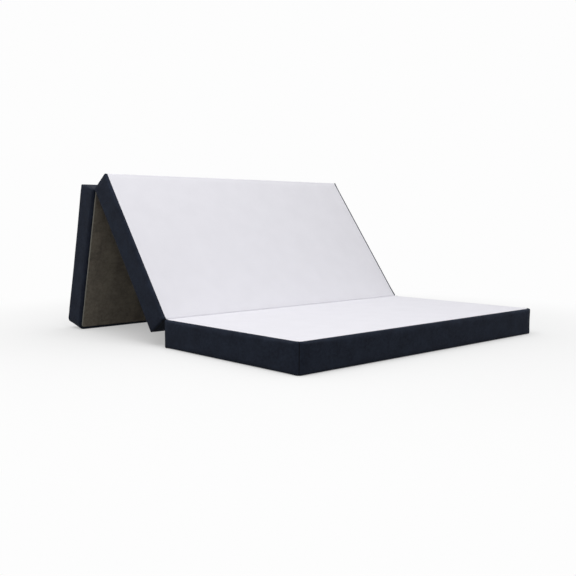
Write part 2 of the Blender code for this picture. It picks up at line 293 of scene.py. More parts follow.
def seam_puckers(tree, cloth, height, depth):
    """Adds to a height the small gathers that a seam's thread pulls into the cloth beside it."""
    near = add_node(tree, "ShaderNodeAttribute", attribute_name="seam_distance")
    # The gathers fade out within 14 mm of the seam
    fade = add_node(tree, "ShaderNodeMapRange", {
        "Value": near.outputs["Fac"], "From Min": 0.0, "From Max": 0.014, "To Min": 1.0, "To Max": 0.0},
        interpolation_type="SMOOTHERSTEP")
    # One gather each 9 mm or so: three stitches of 3 mm
    gathers = add_node(tree, "ShaderNodeTexNoise", {
        "Vector": cloth, "Scale": 1 / 0.009, "Detail": 1.0, "Roughness": 0.4})
    pulled = add_node(tree, "ShaderNodeMath", {0: gathers, 1: fade}, operation="MULTIPLY")
    deep = add_node(tree, "ShaderNodeMath", {0: pulled, 1: depth}, operation="MULTIPLY")
    return add_node(tree, "ShaderNodeMath", {0: height, 1: deep}, operation="ADD")


def knit_cloth(name, colours):
    """White polyester jersey: columns of knitted loops, matt, with a faint cool shade between loops."""
    made, tree = fresh_material(name)
    # The real wales are about 1.2 mm apart, too fine to show here, so they are drawn at 3 mm
    cloth, wale, course = thread_waves(tree, 0.0030, 0.0026)
    column = add_node(tree, "ShaderNodeMath", {0: wale}, operation="ABSOLUTE")
    loop = add_node(tree, "ShaderNodeMath", {0: course, 1: 0.35, 2: column}, operation="MULTIPLY_ADD")
    height = seam_puckers(tree, cloth, loop, 5.0)
    # Soft patches of 80 mm where the knit is stretched a little more or less
    patches = add_node(tree, "ShaderNodeTexNoise", {
        "Vector": cloth, "Scale": 1 / 0.08, "Detail": 2.0, "Roughness": 0.5})
    mottle = add_node(tree, "ShaderNodeMath", {0: column, 1: 0.30, 2: patches}, operation="MULTIPLY_ADD")
    level = add_node(tree, "ShaderNodeMapRange", {
        "Value": mottle, "From Min": 0.35, "From Max": 0.95, "To Min": 0.0, "To Max": 1.0})
    colour = add_node(tree, "ShaderNodeMix", {
        0: level, 6: colours.knit_shade, 7: colours.knit}, data_type="RGBA").outputs[2]
    finish_cloth(tree, colour, 0.9, height, relief=0.00012, sheen=0.05, sheen_tint=WHITE_LIGHT)
    return made


def seam_line(tree, colour, line, width):
    """Lays a narrow line of another colour along a cloth's side seams."""
    near = add_node(tree, "ShaderNodeAttribute", attribute_name="side_seam_distance")
    share = add_node(tree, "ShaderNodeMapRange", {
        "Value": near.outputs["Fac"], "From Min": 0.5 * width, "From Max": width, "To Min": 1.0,
        "To Max": 0.0})
    return add_node(tree, "ShaderNodeMix", {0: share, 6: colour, 7: line}, data_type="RGBA").outputs[2]


def woven_cloth(name, dark, pale, spacing, slub, relief, sheen, sheen_tint, line=None, line_width=0.0):
    """Plain woven polyester: threads over and under, with paler threads mixed in and soft mottling."""
    made, tree = fresh_material(name)
    cloth, warp, weft = thread_waves(tree, spacing, spacing)
    cross = add_node(tree, "ShaderNodeMath", {0: warp, 1: weft}, operation="MULTIPLY")
    # Slubs: short thick places in the threads, four threads long
    slubs = add_node(tree, "ShaderNodeTexNoise", {
        "Vector": cloth, "Scale": 1 / (4 * spacing), "Detail": 3.0, "Roughness": 0.7})
    thread = add_node(tree, "ShaderNodeMath", {0: slubs, 1: slub, 2: cross}, operation="MULTIPLY_ADD")
    height = seam_puckers(tree, cloth, thread, 6.0)
    # Soft patches of 60 mm
    patches = add_node(tree, "ShaderNodeTexNoise", {
        "Vector": cloth, "Scale": 1 / 0.06, "Detail": 4.0, "Roughness": 0.6})
    mixed = add_node(tree, "ShaderNodeMath", {0: slubs, 1: 0.8, 2: patches}, operation="MULTIPLY_ADD")
    level = add_node(tree, "ShaderNodeMapRange", {
        "Value": mixed, "From Min": 0.65, "From Max": 1.15, "To Min": 0.0, "To Max": 1.0})
    colour = add_node(tree, "ShaderNodeMix", {0: level, 6: dark, 7: pale}, data_type="RGBA").outputs[2]
    if line:
        colour = seam_line(tree, colour, line, line_width)
    finish_cloth(tree, colour, 0.88, height, relief, sheen, sheen_tint)
    return made


def foam_block(name, colour, cell):
    """Cut polyurethane foam: a matt, slightly translucent face full of small open cells."""
    made, tree = fresh_material(name)
    place = add_node(tree, "ShaderNodeTexCoord").outputs["Object"]
    cells = add_node(tree, "ShaderNodeTexVoronoi", {"Vector": place, "Scale": 1 / cell})
    # Painted shade: the colour darkens in each open cell's hollow, where the pore's shade falls
    shade = add_node(tree, "ShaderNodeMapRange", {
        "Value": cells, "From Min": 0.0, "From Max": 0.6, "To Min": 0.72, "To Max": 1.0})
    tone = add_node(tree, "ShaderNodeMix", {
        0: 1.0, 6: colour, 7: shade}, data_type="RGBA", blend_type="MULTIPLY")
    finish_surface(tree, cells, 0.0004, 0.8, {
        "Base Color": tone.outputs[2], "Roughness": 0.95, "Specular IOR Level": 0.2,
        "Subsurface Weight": 0.1, "Subsurface Scale": 0.004})
    return made


def nylon_coil(name, colour):
    """Extruded nylon filament: smooth and faintly glossy, with fine drawing lines along it."""
    made, tree = fresh_material(name)
    place = add_node(tree, "ShaderNodeTexCoord").outputs["Object"]
    # Lines of about 1.2 mm, drawn coarser than the real ones, which are too fine to show
    lines = add_node(tree, "ShaderNodeTexNoise", {
        "Vector": place, "Scale": 1 / 0.0012, "Detail": 2.0, "Roughness": 0.5})
    gloss = add_node(tree, "ShaderNodeMapRange", {
        "Value": lines, "From Min": 0.3, "From Max": 0.7, "To Min": 0.32, "To Max": 0.48})
    paler = [min(1.0, 1.6 * part) for part in colour]
    tone = add_node(tree, "ShaderNodeMix", {0: lines, 6: colour, 7: paler}, data_type="RGBA")
    finish_surface(tree, lines, 0.00008, 0.6, {
        "Base Color": tone.outputs[2], "Roughness": gloss, "IOR": 1.53})
    return made


def coated_zinc(name, colour):
    """Cast zinc with a dark baked coat: satin, a little uneven, and rubbed paler in use."""
    made, tree = fresh_material(name)
    place = add_node(tree, "ShaderNodeTexCoord").outputs["Object"]
    # The coat's grain is about 0.7 mm, and the rubbed patches about 6 mm
    grain, rubs = (add_node(tree, "ShaderNodeTexNoise", {
        "Vector": place, "Scale": 1 / size, "Detail": detail, "Roughness": roughness})
        for size, detail, roughness in ((0.0007, 3.0, 0.6), (0.006, 5.0, 0.7)))
    worn = add_node(tree, "ShaderNodeMapRange", {
        "Value": rubs, "From Min": 0.52, "From Max": 0.70, "To Min": 0.0, "To Max": 0.6})
    tone = add_node(tree, "ShaderNodeMix", {0: worn, 6: colour, 7: linear("#77787b")}, data_type="RGBA")
    gloss = add_node(tree, "ShaderNodeMapRange", {
        "Value": grain, "From Min": 0.3, "From Max": 0.7, "To Min": 0.28, "To Max": 0.44})
    finish_surface(tree, grain, 0.00003, 0.5, {
        "Base Color": tone.outputs[2], "Metallic": 0.75, "Roughness": gloss})
    return made


def seen_directly(tree, rays):
    """1 for what the camera sees, also in a mirror or through glass, and 0 for light on other surfaces."""
    glossy = add_node(tree, "ShaderNodeMath", {
        0: rays.outputs["Is Camera Ray"], 1: rays.outputs["Is Glossy Ray"]}, operation="MAXIMUM")
    return add_node(tree, "ShaderNodeMath", {
        0: glossy, 1: rays.outputs["Is Transmission Ray"]}, operation="MAXIMUM")


def studio_floor(name, colour, bounce):
    """Matt painted studio floor: it keeps the shadows and fades to plain white away from the object."""
    made, tree = fresh_material(name)
    place = add_node(tree, "ShaderNodeTexCoord").outputs["Object"]
    # Roller marks of about 25 mm
    grain = add_node(tree, "ShaderNodeTexNoise", {
        "Vector": place, "Scale": 1 / 0.025, "Detail": 3.0, "Roughness": 0.6})
    bump = add_node(tree, "ShaderNodeBump", {"Height": grain, "Distance": 0.0002, "Strength": 0.2})
    rays = add_node(tree, "ShaderNodeLightPath")
    # The camera sees a white floor, and the light that the floor throws back up is duller
    tone = add_node(tree, "ShaderNodeMix", {
        0: rays.outputs["Is Camera Ray"], 6: bounce, 7: colour}, data_type="RGBA")
    paint = add_node(tree, "ShaderNodeBsdfDiffuse", {"Color": tone.outputs[2], "Normal": bump})
    white = add_node(tree, "ShaderNodeEmission", {"Color": linear(BACKGROUND), "Strength": 1.0})
    away = add_node(tree, "ShaderNodeVectorMath", {0: place}, operation="LENGTH")
    fade = add_node(tree, "ShaderNodeMapRange", {
        "Value": away.outputs["Value"], "From Min": 0.6, "From Max": 1.8, "To Min": 0.35, "To Max": 1.0},
        interpolation_type="SMOOTHSTEP")
    share = add_node(tree, "ShaderNodeMath", {0: fade, 1: seen_directly(tree, rays)}, operation="MULTIPLY")
    surface = add_node(tree, "ShaderNodeMixShader", {0: share, 1: paint, 2: white})
    add_node(tree, "ShaderNodeOutputMaterial", {"Surface": surface})
    return made


MAKERS = {
    "white_knit": lambda c: knit_cloth("white_polyester_jersey", c),
    # The real threads are about 0.5 mm apart, too fine to show here, so they are drawn at 2.4 mm.
    # The line is the groove of a corner seam, dark where no light reaches it
    "navy_weave": lambda c: woven_cloth(
        "navy_woven_polyester", c.navy, c.navy_light, spacing=0.0024, slub=1.2, relief=0.00016,
        sheen=0.05, sheen_tint=linear("#8c9ab4"), line=linear("#030405"), line_width=0.0028),
    # A coarser cloth that grips the floor, its threads drawn at 3 mm.
    # The line is a narrow paler line along its side seams
    "brown_weave": lambda c: woven_cloth(
        "brown_woven_base_cloth", c.brown, c.brown_light, spacing=0.0030, slub=1.6, relief=0.00020,
        sheen=0.08, sheen_tint=linear("#9c9484"), line=linear("#b0aea4"), line_width=0.0040),
    # Cells of 1.5 mm, as in firm foam
    "support_foam": lambda c: foam_block("cream_cut_foam", c.support_foam, 0.0015),
    # Cells of 0.9 mm, as in slow foam
    "comfort_foam": lambda c: foam_block("blue_slow_foam", c.comfort_foam, 0.0009),
    # A tight tape, its threads drawn at 1.2 mm
    "zip_tape": lambda c: woven_cloth(
        "black_woven_zip_tape", c.zip_tape, [1.5 * part for part in c.zip_tape], spacing=0.0012, slub=0.6,
        relief=0.00008, sheen=0.05, sheen_tint=linear("#8c9ab4")),
    "zip_coil": lambda c: nylon_coil("black_nylon_filament", c.zip_coil),
    "zip_metal": lambda c: coated_zinc("dark_coated_zinc", c.zip_metal),
}
MADE = {}


def finish_of(slot):
    """The material of one slot, made once."""
    if slot not in MADE:
        MADE[slot] = MAKERS[slot](bpy.context.scene.mattress_colours)
    return MADE[slot]


def deselect():
    """Leave edit mode, and leave nothing selected."""
    if bpy.context.mode != "OBJECT":
        bpy.ops.object.mode_set(mode="OBJECT")
    bpy.ops.object.select_all(action="DESELECT")


def make_active(piece):
    """Select one object alone."""
    deselect()
    piece.select_set(True)
    bpy.context.view_layer.objects.active = piece


def apply_modifiers(piece):
    """Apply every modifier of a piece in order."""
    make_active(piece)
    for name in [modifier.name for modifier in piece.modifiers]:
        bpy.ops.object.modifier_apply(modifier=name)


def give_finish(piece, slot, body, *nodes):
    """A piece's material, its slot, the body it rides on, and the nodes it stands for."""
    piece.data.materials.clear()
    piece.data.materials.append(finish_of(slot))
    if body:
        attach(piece, body)
    if nodes:
        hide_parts(*nodes)


@contextmanager
def editing(piece):
    """Edit mode on one piece, all of it selected, and object mode again afterwards."""
    make_active(piece)
    bpy.ops.object.mode_set(mode="EDIT")
    bpy.ops.mesh.select_all(action="SELECT")
    yield
    bpy.ops.object.mode_set(mode="OBJECT")


def pick(kind, wanted):
    """In edit mode, select only the faces or edges that a test of middle and direction picks."""
    bpy.ops.mesh.select_mode(type=kind)
    bpy.ops.mesh.select_all(action="DESELECT")
    mesh = bpy.context.edit_object.data
    shape = bmesh.from_edit_mesh(mesh)
    if kind == "FACE":
        for face in shape.faces:
            face.select_set(bool(wanted(face.calc_center_median(), face.normal)))
    else:
        for edge in shape.edges:
            start, end = (vert.co for vert in edge.verts)
            edge.select_set(bool(wanted((start + end) / 2, (end - start).normalized())))
    bmesh.update_edit_mesh(mesh)


def cut_parallel(axis, cuts):
    """In edit mode, cut every edge that runs along one axis into equal parts."""
    pick("EDGE", lambda middle, run: abs(run[axis]) > ALONG)
    bpy.ops.mesh.subdivide(number_cuts=cuts)


def join(pieces, name):
    """Make several objects one, and name it."""
    deselect()
    for piece in pieces:
        piece.select_set(True)
    bpy.context.view_layer.objects.active = pieces[0]
    bpy.ops.object.join()
    pieces[0].name = name
    return pieces[0]


def drawing_lines(low, high, total, step):
    """Places of the drawing lines along one side: close at both edges and even between them."""
    low, high = list(low), [total - depth for depth in reversed(high)]
    count = round((high[0] - low[-1]) / step)
    return np.array(low + [low[-1] + (high[0] - low[-1]) * index / count for index in range(1, count)] + high)


def flat_shell(panel, sizes):
    """A closed box of the panel's size, cut along the drawing lines, with each point's place on it."""
    ends = [FREE_LINES if FREE_END[panel] == end else HINGE_LINES for end in ("low", "high")]
    lines = (
        drawing_lines(FREE_LINES, FREE_LINES, MATTRESS_WIDTH, sizes.drawing_step) - HALF_WIDTH,
        drawing_lines(*ends, LENGTHS[panel], sizes.drawing_step),
        drawing_lines(HEIGHT_LINES, HEIGHT_LINES, PANEL_THICKNESS, sizes.drawing_step),
    )
    deselect()
    bpy.ops.mesh.primitive_cube_add(size=1, location=(0, 0, 0))
    shell = bpy.context.active_object
    shell.name = f"{panel}_shell"
    with editing(shell):
        for axis in range(3):
            cut_parallel(axis, len(lines[axis]) - 2)
    points = read_points(shell, "co") + 0.5
    flat = np.zeros_like(points)
    for axis in range(3):
        index = np.rint(points[:, axis] * (len(lines[axis]) - 1)).astype(int)
        flat[:, axis] = lines[axis][index]
    return shell, flat


def rounded(panel, flat, sizes):
    """The box's points moved onto the rounded corners and edges of the sewn cover."""
    x, y, z = flat.T
    length = LENGTHS[panel]
    at_high = y > length / 2
    is_free = at_high if FREE_END[panel] == "high" else ~at_high
    if FREE_END[panel] is None:
        is_free = np.zeros_like(at_high)
    side, end = HALF_WIDTH - np.abs(x), np.where(at_high, length - y, y)
    radius = np.where(is_free, sizes.corner_radius, sizes.hinge_corner_radius)
    in_corner = (side < radius) & (end < radius)
    across, along = np.maximum(radius - side, 0), np.maximum(radius - end, 0)
    reach = np.maximum(np.hypot(across, along), 1e-9)
    normal_x = np.where(in_corner, across / reach, (side <= end).astype(float))
    normal_y = np.where(in_corner, along / reach, (side > end).astype(float))
    depth = np.where(in_corner, radius - np.maximum(across, along), np.minimum(side, end))
    # The edge's own radius is small where the cover meets a hinge, and a little less round a hinged corner
    folds_on_top = np.where(at_high, panel == "front", panel == "middle")
    at_fold = (z > PANEL_THICKNESS / 2) == folds_on_top
    near_fold = sizes.edge_radius * normal_x ** 2 + sizes.hinge_edge_radius * normal_y ** 2
    past_fold = sizes.edge_radius * (1 - 1.3 * (normal_x * normal_y) ** 2)
    edge = np.where(is_free, sizes.edge_radius, np.where(at_fold, near_fold, past_fold))
    rise = np.minimum(z, PANEL_THICKNESS - z)
    inward, upward = np.maximum(edge - depth, 0), np.maximum(edge - rise, 0)
    on_edge = (inward > 0) & (upward > 0)
    shrink = np.maximum(inward, upward) / np.maximum(np.hypot(inward, upward), 1e-9)
    new_depth = np.where(on_edge, edge - inward * shrink, depth)
    new_rise = np.where(on_edge, edge - upward * shrink, rise)
    # From depth and normal back to a place, in the corner's circle or along a straight side
    centre_x, centre_y = HALF_WIDTH - radius, radius
    out_x = np.where(in_corner, centre_x + normal_x * (radius - new_depth),
                     np.where(side <= end, HALF_WIDTH - new_depth, HALF_WIDTH - side))
    out_y = np.where(in_corner, centre_y - normal_y * (radius - new_depth),
                     np.where(side <= end, end, new_depth))
    placed = np.empty_like(flat)
    placed[:, 0] = np.copysign(out_x, x)
    placed[:, 1] = np.where(at_high, length - out_y, out_y)
    placed[:, 2] = np.where(z > PANEL_THICKNESS / 2, PANEL_THICKNESS - new_rise, new_rise)
    return placed


def part_of(panel, centre, sizes):
    """Which cover piece a face of the flat box belongs to."""
    x, y, z = centre
    length = LENGTHS[panel]
    side = HALF_WIDTH - abs(x)
    end_name = PANEL_ENDS[panel][1 if y > length / 2 else 0]
    end = min(y, length - y)
    is_free = FREE_END[panel] == ("high" if y > length / 2 else "low")
    side_name = "left_border" if x < 0 else "right_border"
    inset = sizes.seam_inset
    if z > PANEL_THICKNESS - ON_FACE or z < ON_FACE:
        if side < inset or (is_free and end < inset):
            return side_name if side <= end or not is_free else f"{end_name}_border"
        return "top_cover" if z > PANEL_THICKNESS / 2 else "base_cover"
    if side < ON_FACE:
        return side_name
    if is_free:
        return f"{end_name}_border"
    if side < inset:
        return side_name
    if z > PANEL_THICKNESS - HINGE_WRAP:
        return "top_cover"
    if z < HINGE_WRAP:
        return "base_cover"
    return f"{end_name}_border"


def read_points(piece, name):
    """A mesh's places ("co") or normals ("normal") as an array."""
    values = np.zeros(3 * len(piece.data.vertices))
    piece.data.vertices.foreach_get(name, values)
    return values.reshape(-1, 3)


def swell(shell, held):
    """Let air press the cover cloth out between its seams, and return how far each point moves."""
    before = read_points(shell, "co")
    group = shell.vertex_groups.new(name="held")
    group.add([int(index) for index in np.flatnonzero(held)], 1.0, "REPLACE")
    cloth = shell.modifiers.new("swell", "CLOTH")
    for name, value in SWELL_SETTINGS.items():
        setattr(cloth.settings, name, value)
    cloth.settings.vertex_group_mass = "held"
    cloth.settings.effector_weights.gravity = 0
    cloth.collision_settings.use_collision = False
    cloth.point_cache.frame_start = 1
    cloth.point_cache.frame_end = SWELL_FRAMES
    for step in range(1, SWELL_FRAMES + 1):
        bpy.context.scene.frame_set(step)
    apply_modifiers(shell)
    bpy.context.scene.frame_set(1)
    return read_points(shell, "co") - before


def soft_waves(points, size, seed):
    """Smooth noise from -1 to 1 at each point, its waves about size metres long."""
    offset = Vector((seed * 7.3, seed * 3.1, seed * 5.7))
    return np.array([noise.noise(Vector(point) / size + offset) for point in points])


def shaped_cover(panel, seed, sizes):
    """The sewn cover's points: rounded, swollen over the foam, dented, and drawn in at its seams."""
    shell, flat = flat_shell(panel, sizes)
    placed = rounded(panel, flat, sizes)
    shell.data.vertices.foreach_set("co", placed.ravel())
    shell.data.update()
    faces = [tuple(face.vertices) for face in shell.data.polygons]
    parts = [part_of(panel, flat[list(face)].mean(axis=0), sizes) for face in faces]
    owners = [set() for _ in flat]
    for face, part in zip(faces, parts):
        for index in face:
            owners[index].add(part)
    on_seam = np.array([len(owner) > 1 for owner in owners])
    on_top = np.array(["top_cover" in owner for owner in owners])
    on_base = np.array(["base_cover" in owner for owner in owners])
    normals = read_points(shell, "normal")
    x, y, z = flat.T
    # How far each point is from the nearest hinged end
    to_hinge = np.minimum(*(LENGTHS[panel] if FREE_END[panel] == end else distance
                            for end, distance in (("low", y), ("high", LENGTHS[panel] - y))))
    hinge_face = to_hinge < ON_FACE
    zip_side = x > HALF_WIDTH - ON_FACE
    # How far out each place may go: the top crowns, the borders swell, the base and the hinged ends
    # stay flat, and the zip's side moves a tenth of a millimetre at most
    room = np.where(on_top, sizes.top_crown, sizes.border_swell)
    room[on_base | hinge_face] = ON_FACE
    room[zip_side] = 0.0001
    moved = swell(shell, on_seam | on_base | hinge_face)
    out = (moved * normals).sum(axis=1)
    out = np.where(out > 0, room * (1 - np.exp(-out / room)), np.maximum(out, -DEEPEST_SINK))
    # Dents only go inwards, so the cover stays on the foam and clear of the panel beside it. They are
    # waves of 130 mm with smaller ones of 50 mm on them
    waves = soft_waves(placed, 0.13, seed) + 0.5 * soft_waves(placed, 0.05, seed + 1)
    # A border's dents grow over 30 mm from its rolled edges, which lie close on the foam
    from_edge = np.clip(np.minimum(z, PANEL_THICKNESS - z) / 0.03, 0.2, 1)
    dents = np.where(on_top | on_base, sizes.face_dents, sizes.border_dents * from_edge)
    dents[zip_side] = sizes.face_dents / 2
    # They fade out over 40 mm towards a hinged end
    dents = dents * np.clip((to_hinge - SQUARE_END) / 0.04, 0, 1)
    out = np.where(to_hinge < SQUARE_END, np.maximum(out, 0), out)
    out -= dents * np.clip(0.5 + 0.6 * waves, 0, 1.4)
    # Seams draw the cover in, and only a little where the foam's corners are square
    out[on_seam & (to_hinge > SQUARE_END)] = -sizes.seam_depth
    out[on_seam & (to_hinge <= SQUARE_END)] = -0.2 * sizes.seam_depth
    points = placed + normals * out[:, None]
    bpy.data.objects.remove(shell, do_unlink=True)
    return points, flat, faces, parts


def cloth_map(panel, part, flat):
    """Each point's place on its cut piece of cloth, its distance from the nearest seam, and its
    distance from the seams that run up the corners or along the sides, in metres."""
    x, y, z = flat.T
    length = LENGTHS[panel]
    side = HALF_WIDTH - np.abs(x)
    inset = bpy.context.scene.mattress_sizes.seam_inset
    wrap = {"low": inset if FREE_END[panel] == "low" else -HINGE_WRAP,
            "high": inset if FREE_END[panel] == "high" else -HINGE_WRAP}
    if part in ("top_cover", "base_cover"):
        drop = PANEL_THICKNESS - z if part == "top_cover" else z
        along = np.where(y < length / 2, y - drop, y + drop)
        seam = np.minimum(side - inset, np.minimum(along - wrap["low"], length - wrap["high"] - along))
        return x, along, seam, side - inset
    on_top, on_base = z > PANEL_THICKNESS - ON_FACE, z < ON_FACE
    if part in ("left_border", "right_border"):
        high = np.where(on_top, z + side, np.where(on_base, z - side, z))
        along = np.where(side < ON_FACE, y, np.where(y < ON_FACE, -side, np.where(
            y > length - ON_FACE, length + side, y)))
        # A free end's seam runs up the middle of its corner
        ends = np.minimum(y - side if FREE_END[panel] == "low" else along + inset,
                          length - y - side if FREE_END[panel] == "high" else length + inset - along)
        seam = np.minimum(np.minimum(high + inset, PANEL_THICKNESS + inset - high), ends)
        return along, high, seam, ends
    end = np.minimum(y, length - y)
    high = np.where(on_top, z + end, np.where(on_base, z - end, z))
    is_free = FREE_END[panel] and part == f"{PANEL_ENDS[panel][FREE_END[panel] == 'high']}_border"
    upright = side - (end if is_free else inset)
    seam = np.minimum(np.minimum(high + inset, PANEL_THICKNESS + inset - high), upright)
    return x, high, seam, upright


def cloth_piece(name, points, faces, map_values, thickness):
    """A closed sheet of cloth from its outer face's points, with its cloth map."""
    used = sorted({index for face in faces for index in face})
    new_index = {old: new for new, old in enumerate(used)}
    mesh = bpy.data.meshes.new(name)
    mesh.from_pydata([tuple(points[old]) for old in used], [],
                     [tuple(new_index[old] for old in face) for face in faces])
    along, high, *distances = (values[used] for values in map_values)
    loops = np.zeros(len(mesh.loops), dtype=int)
    mesh.loops.foreach_get("vertex_index", loops)
    layer = mesh.uv_layers.new(name="cloth")
    layer.data.foreach_set("uv", np.stack([along[loops], high[loops]], axis=1).ravel())
    for label, values in zip(("seam_distance", "side_seam_distance"), distances):
        distance = mesh.attributes.new(label, "FLOAT", "POINT")
        distance.data.foreach_set("value", np.maximum(values, 0).astype(np.float32))
    piece = bpy.data.objects.new(name, mesh)
    bpy.context.collection.objects.link(piece)
    solid = piece.modifiers.new("cloth", "SOLIDIFY")
    solid.thickness = thickness
    solid.offset = -1
    apply_modifiers(piece)
    bpy.ops.object.shade_smooth_by_angle(angle=math.radians(50))
    return piece


def sewn_cover(panel, seed):
    """One panel's cover: its white top, brown base and four navy borders."""
    sizes = bpy.context.scene.mattress_sizes
    points, flat, faces, parts = shaped_cover(panel, seed, sizes)
    place = PLACES[panel]
    placed = points @ np.array(place.to_3x3()).T + np.array(place.translation)
    # Each piece is cut for the face or border it covers, plus what rolls over an edge to its seam
    for part in sorted(set(parts)):
        own = [face for face, owner in zip(faces, parts) if owner == part]
        piece = cloth_piece(f"{panel}_{part}_cloth", placed, own, cloth_map(panel, part, flat),
                            sizes.cloth_thickness)
        slot = {"top_cover": "white_knit", "base_cover": "brown_weave"}.get(part, "navy_weave")
        give_finish(piece, slot, f"{panel}_panel", f"{panel}_{part}")


def fold_hinge(name, first, after, slot, on_top, nodes, sizes):
    """A strip of cloth sewn to two panels' ends, turned over at the fold between them."""
    leg, steps = sizes.hinge_leg, 8
    # Its rows run up the first panel's end and down the next one's, with the turn between the middle two
    depths = [TURN_DEPTH + (leg - TURN_DEPTH) * step / steps for step in range(steps + 1)]
    fold_height, inwards = (PANEL_THICKNESS + TOP_EASE, -1) if on_top else (-BASE_EASE, 1)
    rows = [(first, LENGTHS[first] + END_REACH, fold_height + inwards * depth) for depth in reversed(depths)]
    rows += [(after, -END_REACH, fold_height + inwards * depth) for depth in depths]
    half = HALF_WIDTH - sizes.hinge_inset
    across = [-half + 2 * half * column / HINGE_COLUMNS for column in range(HINGE_COLUMNS + 1)]
    points = np.array([PLACES[panel] @ Vector((x, y, z)) for panel, y, z in rows for x in across])
    row = np.repeat(np.arange(len(rows)), len(across))
    high, seam = row * leg / steps, np.minimum(row, len(rows) - 1 - row) * leg / steps
    faces = []
    for start in (start for start in range(len(points) - len(across)) if (start + 1) % len(across)):
        face = (start, start + 1, start + 1 + len(across), start + len(across))
        faces.append(face if on_top else face[::-1])
    # A hinge has no side seam, so every point is far from one
    cloth = (np.tile(across, len(rows)), high, seam, np.ones(len(points)))
    piece = cloth_piece(name, points, faces, cloth, HINGE_THICKNESS)
    give_finish(piece, slot, None, *nodes)
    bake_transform(piece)


def local_box(panel, node):
    """A node's lowest and highest corners in its panel's own flat frame."""
    back = PLACES[panel].inverted()
    points = np.array([back @ vert.co for vert in frame["nodes"][node].data.vertices])
    return Vector(points.min(axis=0)), Vector(points.max(axis=0))


def add_box(name, low, high):
    """A cube stretched between two corners, its place in its mesh."""
    deselect()
    bpy.ops.mesh.primitive_cube_add(size=1, location=(0, 0, 0))
    piece = bpy.context.active_object
    piece.name = name
    with editing(piece):
        bpy.ops.transform.resize(value=high - low, center_override=(0, 0, 0))
        bpy.ops.transform.translate(value=(low + high) / 2)
    return piece


def round_edges(piece, width, segments=2):
    """Round a hard piece's edges with an applied bevel."""
    bevel = piece.modifiers.new("edges", "BEVEL")
    bevel.width = width
    bevel.segments = segments
    bevel.limit_method = "ANGLE"
    bevel.angle_limit = math.radians(30)
    apply_modifiers(piece)
    bpy.ops.object.shade_smooth_by_angle(angle=math.radians(40))


def repeat(piece, step, count):
    """Copy a small shape along its zip within one mesh."""
    row = piece.modifiers.new("row", "ARRAY")
    row.use_relative_offset = False
    row.use_constant_offset = True
    row.constant_offset_displace = (0, step, 0)
    row.count = count
    apply_modifiers(piece)


def put_in_place(piece, panel):
    """Move a piece drawn in its panel's flat frame to the panel's place."""
    piece.data.transform(PLACES[panel])
    piece.data.update()


def zip_tape(panel):
    """The zip's woven tape: a hem along each long edge, and a bed for the coil along the middle."""
    low, high = local_box(panel, f"{panel}_zip_tape")
    # The tape runs a little past the clamps at the coil's ends
    low.y -= TAPE_TAIL
    high.y += TAPE_TAIL
    piece = add_box(f"{panel}_zip_tape_cloth", low, high)
    with editing(piece):
        # Cut every 8 mm along and 2 mm across, so that its edges can wander and its hems show
        cut_parallel(1, round((high.y - low.y) / 0.008))
        cut_parallel(2, 12)
    middle, half = (low.z + high.z) / 2, (high.z - low.z) / 2
    mesh = piece.data
    layer = mesh.uv_layers.new(name="cloth")
    mesh.uv_layers.active = layer
    for loop in mesh.loops:
        layer.data[loop.index].uv = mesh.vertices[loop.vertex_index].co.yz
    away = mesh.attributes.new("seam_distance", "FLOAT", "POINT")
    for vert in mesh.vertices:
        height = vert.co.z - middle
        away.data[vert.index].value = half - abs(height)
        if vert.co.x > (low.x + high.x) / 2:
            hem = 0.0005 if abs(height) > 0.85 * half else 0.0
            bed = 0.0004 if abs(height) < 0.25 * half else 0.0
            vert.co.x -= hem + bed
        # The tape's free edges wander a little between their stitches
        vert.co.z += math.copysign(0.0003, height) * noise.noise(Vector((vert.co.y / 0.02, 0, height)))
    make_active(piece)
    bpy.ops.object.shade_smooth_by_angle(angle=math.radians(50))
    put_in_place(piece, panel)
    give_finish(piece, "zip_tape", f"{panel}_panel", f"{panel}_zip_tape")


def zip_stitches(panel):
    """Two rows of lockstitch that hold the tape to the border."""
    low, high = local_box(panel, f"{panel}_zip_tape")
    middle = (low.z + high.z) / 2
    rows = []
    for side in (-1, 1):
        deselect()
        bpy.ops.mesh.primitive_uv_sphere_add(segments=6, ring_count=5, radius=0.5, location=(0, 0, 0))
        stitch = bpy.context.active_object
        with editing(stitch):
            bpy.ops.transform.resize(value=STITCH_SIZE, center_override=(0, 0, 0))
            bpy.ops.transform.translate(
                value=(high.x - 0.0001, low.y + STITCH_MARGIN, middle + side * STITCH_HEIGHT))
        repeat(stitch, STITCH_PITCH, int((high.y - low.y - 2 * STITCH_MARGIN) / STITCH_PITCH))
        rows.append(stitch)
    piece = join(rows, f"{panel}_zip_stitches")
    bpy.ops.object.shade_smooth_by_angle(angle=math.radians(60))
    put_in_place(piece, panel)
    give_finish(piece, "zip_coil", f"{panel}_panel")


def zip_coil(panel):
    """The nylon coil: slanted turns side by side, each a bent bar that hooks into the next."""
    pitch = bpy.context.scene.mattress_sizes.tooth_pitch
    low, high = local_box(panel, f"{panel}_zip_coil")
    # A turn is a little wider than the gap to the next one
    wide = 0.62 * pitch
    piece = add_box(f"{panel}_zip_coil_turns", low, Vector((high.x, low.y + wide, high.z)))
    centre = (low.x, low.y, (low.z + high.z) / 2)
    with editing(piece):
        cut_parallel(2, 3)
        # The turn slants along the zip, and its two ends bend down to the tape
        for sign in (-1, 1):
            pick("FACE", lambda middle, normal: sign * normal.z > ALONG)
            bpy.ops.transform.translate(value=(0, sign * 0.0004, 0))
            bpy.ops.transform.resize(value=(0.6, 1, 1), center_override=centre)
    round_edges(piece, 0.0003, 1)
    repeat(piece, pitch, int((high.y - low.y - wide) / pitch) + 1)
    put_in_place(piece, panel)
    give_finish(piece, "zip_coil", f"{panel}_panel", f"{panel}_zip_coil")


